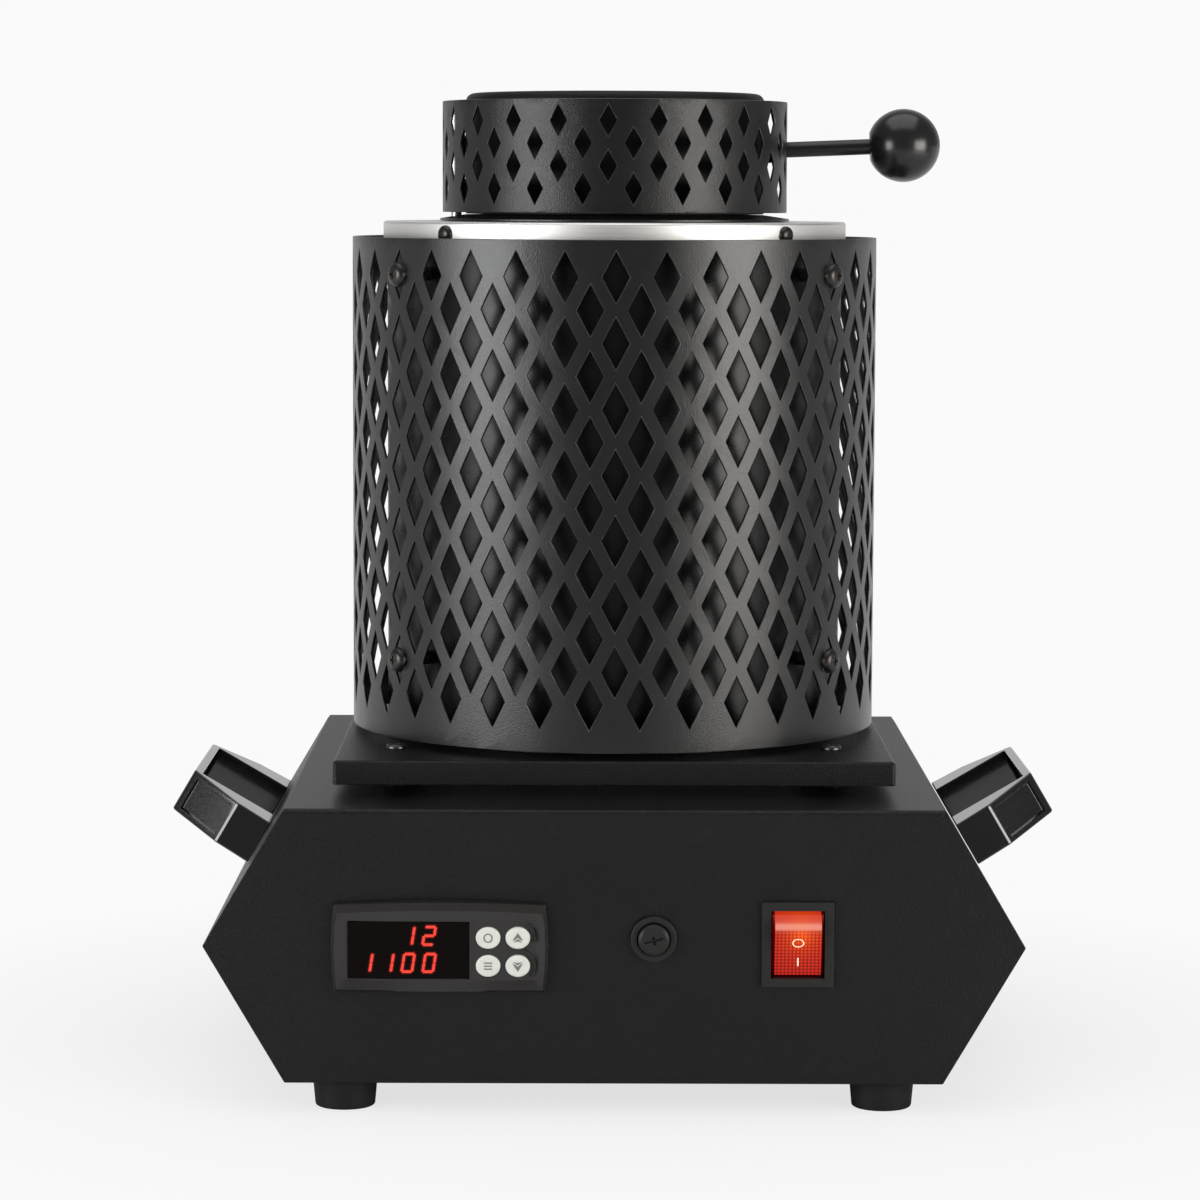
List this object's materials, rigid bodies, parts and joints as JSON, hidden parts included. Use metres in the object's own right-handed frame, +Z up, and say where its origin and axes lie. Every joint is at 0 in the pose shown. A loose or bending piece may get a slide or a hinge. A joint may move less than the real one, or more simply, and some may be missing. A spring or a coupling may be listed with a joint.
{
  "type": "electric gold melting furnace",
  "caption": "Bench furnace for melting precious metals: hexagonal control base with side handles, steel drum in a diamond-cut shroud, crucible chamber and swinging lid with a ball handle.",
  "frame": {"origin": "on the table, under the middle of the whole object's box; the drum's axis passes through it", "axes": "+Z up, front with the controls towards -Y, +X to the right as seen from the front"},
  "size_m": [0.3408, 0.2784, 0.3735],
  "materials": {
    "powder_coat_black": "matte powder coat",
    "satin_black_paint": "satin",
    "moulded_black": "gloss",
    "controller_black": "satin",
    "display_window": "dark tinted gloss",
    "key_white": "satin",
    "rubber_black": "matte",
    "rocker_red": "translucent gloss",
    "fuse_glass": "clear",
    "brushed_steel": "satin",
    "screw_steel": "bright",
    "ceramic_white": "matte",
    "ceramic_fibre": "matte",
    "coil_wire": "oxidised",
    "graphite": "satin"
  },
  "bodies": {
    "furnace": {"casing_shell": "powder_coat_black", "side_panel_left": "powder_coat_black", "side_panel_right": "powder_coat_black", "bottom_plate": "powder_coat_black", "foot_front_left": "rubber_black", "foot_front_right": "rubber_black", "foot_rear_left": "rubber_black", "foot_rear_right": "rubber_black", "grip_handle_left": "moulded_black", "grip_handle_right": "moulded_black", "controller_case": "controller_black", "controller_window": "display_window", "fuse_holder": "moulded_black", "switch_housing": "moulded_black", "power_inlet": "moulded_black", "relay": "controller_black", "terminal_block": "ceramic_white", "drum_tray": "satin_black_paint", "tray_screw_front_left": "screw_steel", "tray_screw_front_right": "screw_steel", "tray_screw_rear_left": "screw_steel", "tray_screw_rear_right": "screw_steel", "inner_drum": "brushed_steel", "drum_cap": "brushed_steel", "cap_rivet_front_left": "screw_steel", "cap_rivet_front_right": "screw_steel", "cap_rivet_rear_left": "screw_steel", "cap_rivet_rear_right": "screw_steel", "mouth_collar": "satin_black_paint", "drum_shroud": "satin_black_paint", "stud_upper_front_left": "satin_black_paint", "stud_upper_front_right": "satin_black_paint", "stud_upper_rear_left": "satin_black_paint", "stud_upper_rear_right": "satin_black_paint", "stud_lower_front_left": "satin_black_paint", "stud_lower_front_right": "satin_black_paint", "stud_lower_rear_left": "satin_black_paint", "stud_lower_rear_right": "satin_black_paint", "floor_brick": "ceramic_fibre", "thermocouple": "ceramic_white", "muffle_tube": "ceramic_white", "heating_coil": "coil_wire", "insulation_jacket": "ceramic_fibre", "hinge_pin": "screw_steel"},
    "lid": {"lid_can": "brushed_steel", "lid_plug": "ceramic_fibre", "lid_ring": "satin_black_paint", "handle_rod": "satin_black_paint", "ball_knob": "moulded_black", "hinge_barrel": "screw_steel"},
    "power_rocker": {"switch_rocker": "rocker_red"},
    "upper_left_key": {"key_upper_left": "key_white"},
    "upper_right_key": {"key_upper_right": "key_white"},
    "lower_left_key": {"key_lower_left": "key_white"},
    "lower_right_key": {"key_lower_right": "key_white"},
    "fuse_carrier": {"fuse_cap": "moulded_black", "fuse_link": "fuse_glass"},
    "melting_crucible": {"crucible": "graphite"}
  },
  "joints": [
    {"name": "lid_swing", "type": "hinge", "parent": "furnace", "child": "lid", "pos_m": [-0.06166, 0, 0.33], "axis": [0, 0, 1], "range_deg": [0, 120]},
    {"name": "rocker_tilt", "type": "hinge", "parent": "furnace", "child": "power_rocker", "pos_m": [0.0668, -0.13181, 0.0634], "axis": [-1, 0, 0], "range_deg": [0, 26]},
    {"name": "upper_left_key_press", "type": "slide", "parent": "furnace", "child": "upper_left_key", "axis": [0, 1, 0], "range_m": [0, 0.0006], "stiffness_N_per_m": 1500},
    {"name": "upper_right_key_press", "type": "slide", "parent": "furnace", "child": "upper_right_key", "axis": [0, 1, 0], "range_m": [0, 0.0006], "stiffness_N_per_m": 1500},
    {"name": "lower_left_key_press", "type": "slide", "parent": "furnace", "child": "lower_left_key", "axis": [0, 1, 0], "range_m": [0, 0.0006], "stiffness_N_per_m": 1500},
    {"name": "lower_right_key_press", "type": "slide", "parent": "furnace", "child": "lower_right_key", "axis": [0, 1, 0], "range_m": [0, 0.0006], "stiffness_N_per_m": 1500},
    {"name": "fuse_draw", "type": "slide", "parent": "furnace", "child": "fuse_carrier", "axis": [0, -1, 0], "range_m": [0, 0.03]},
    {"name": "crucible_lift", "type": "slide", "parent": "furnace", "child": "melting_crucible", "axis": [0, 0, 1], "range_m": [0, 0.042]}
  ]
}
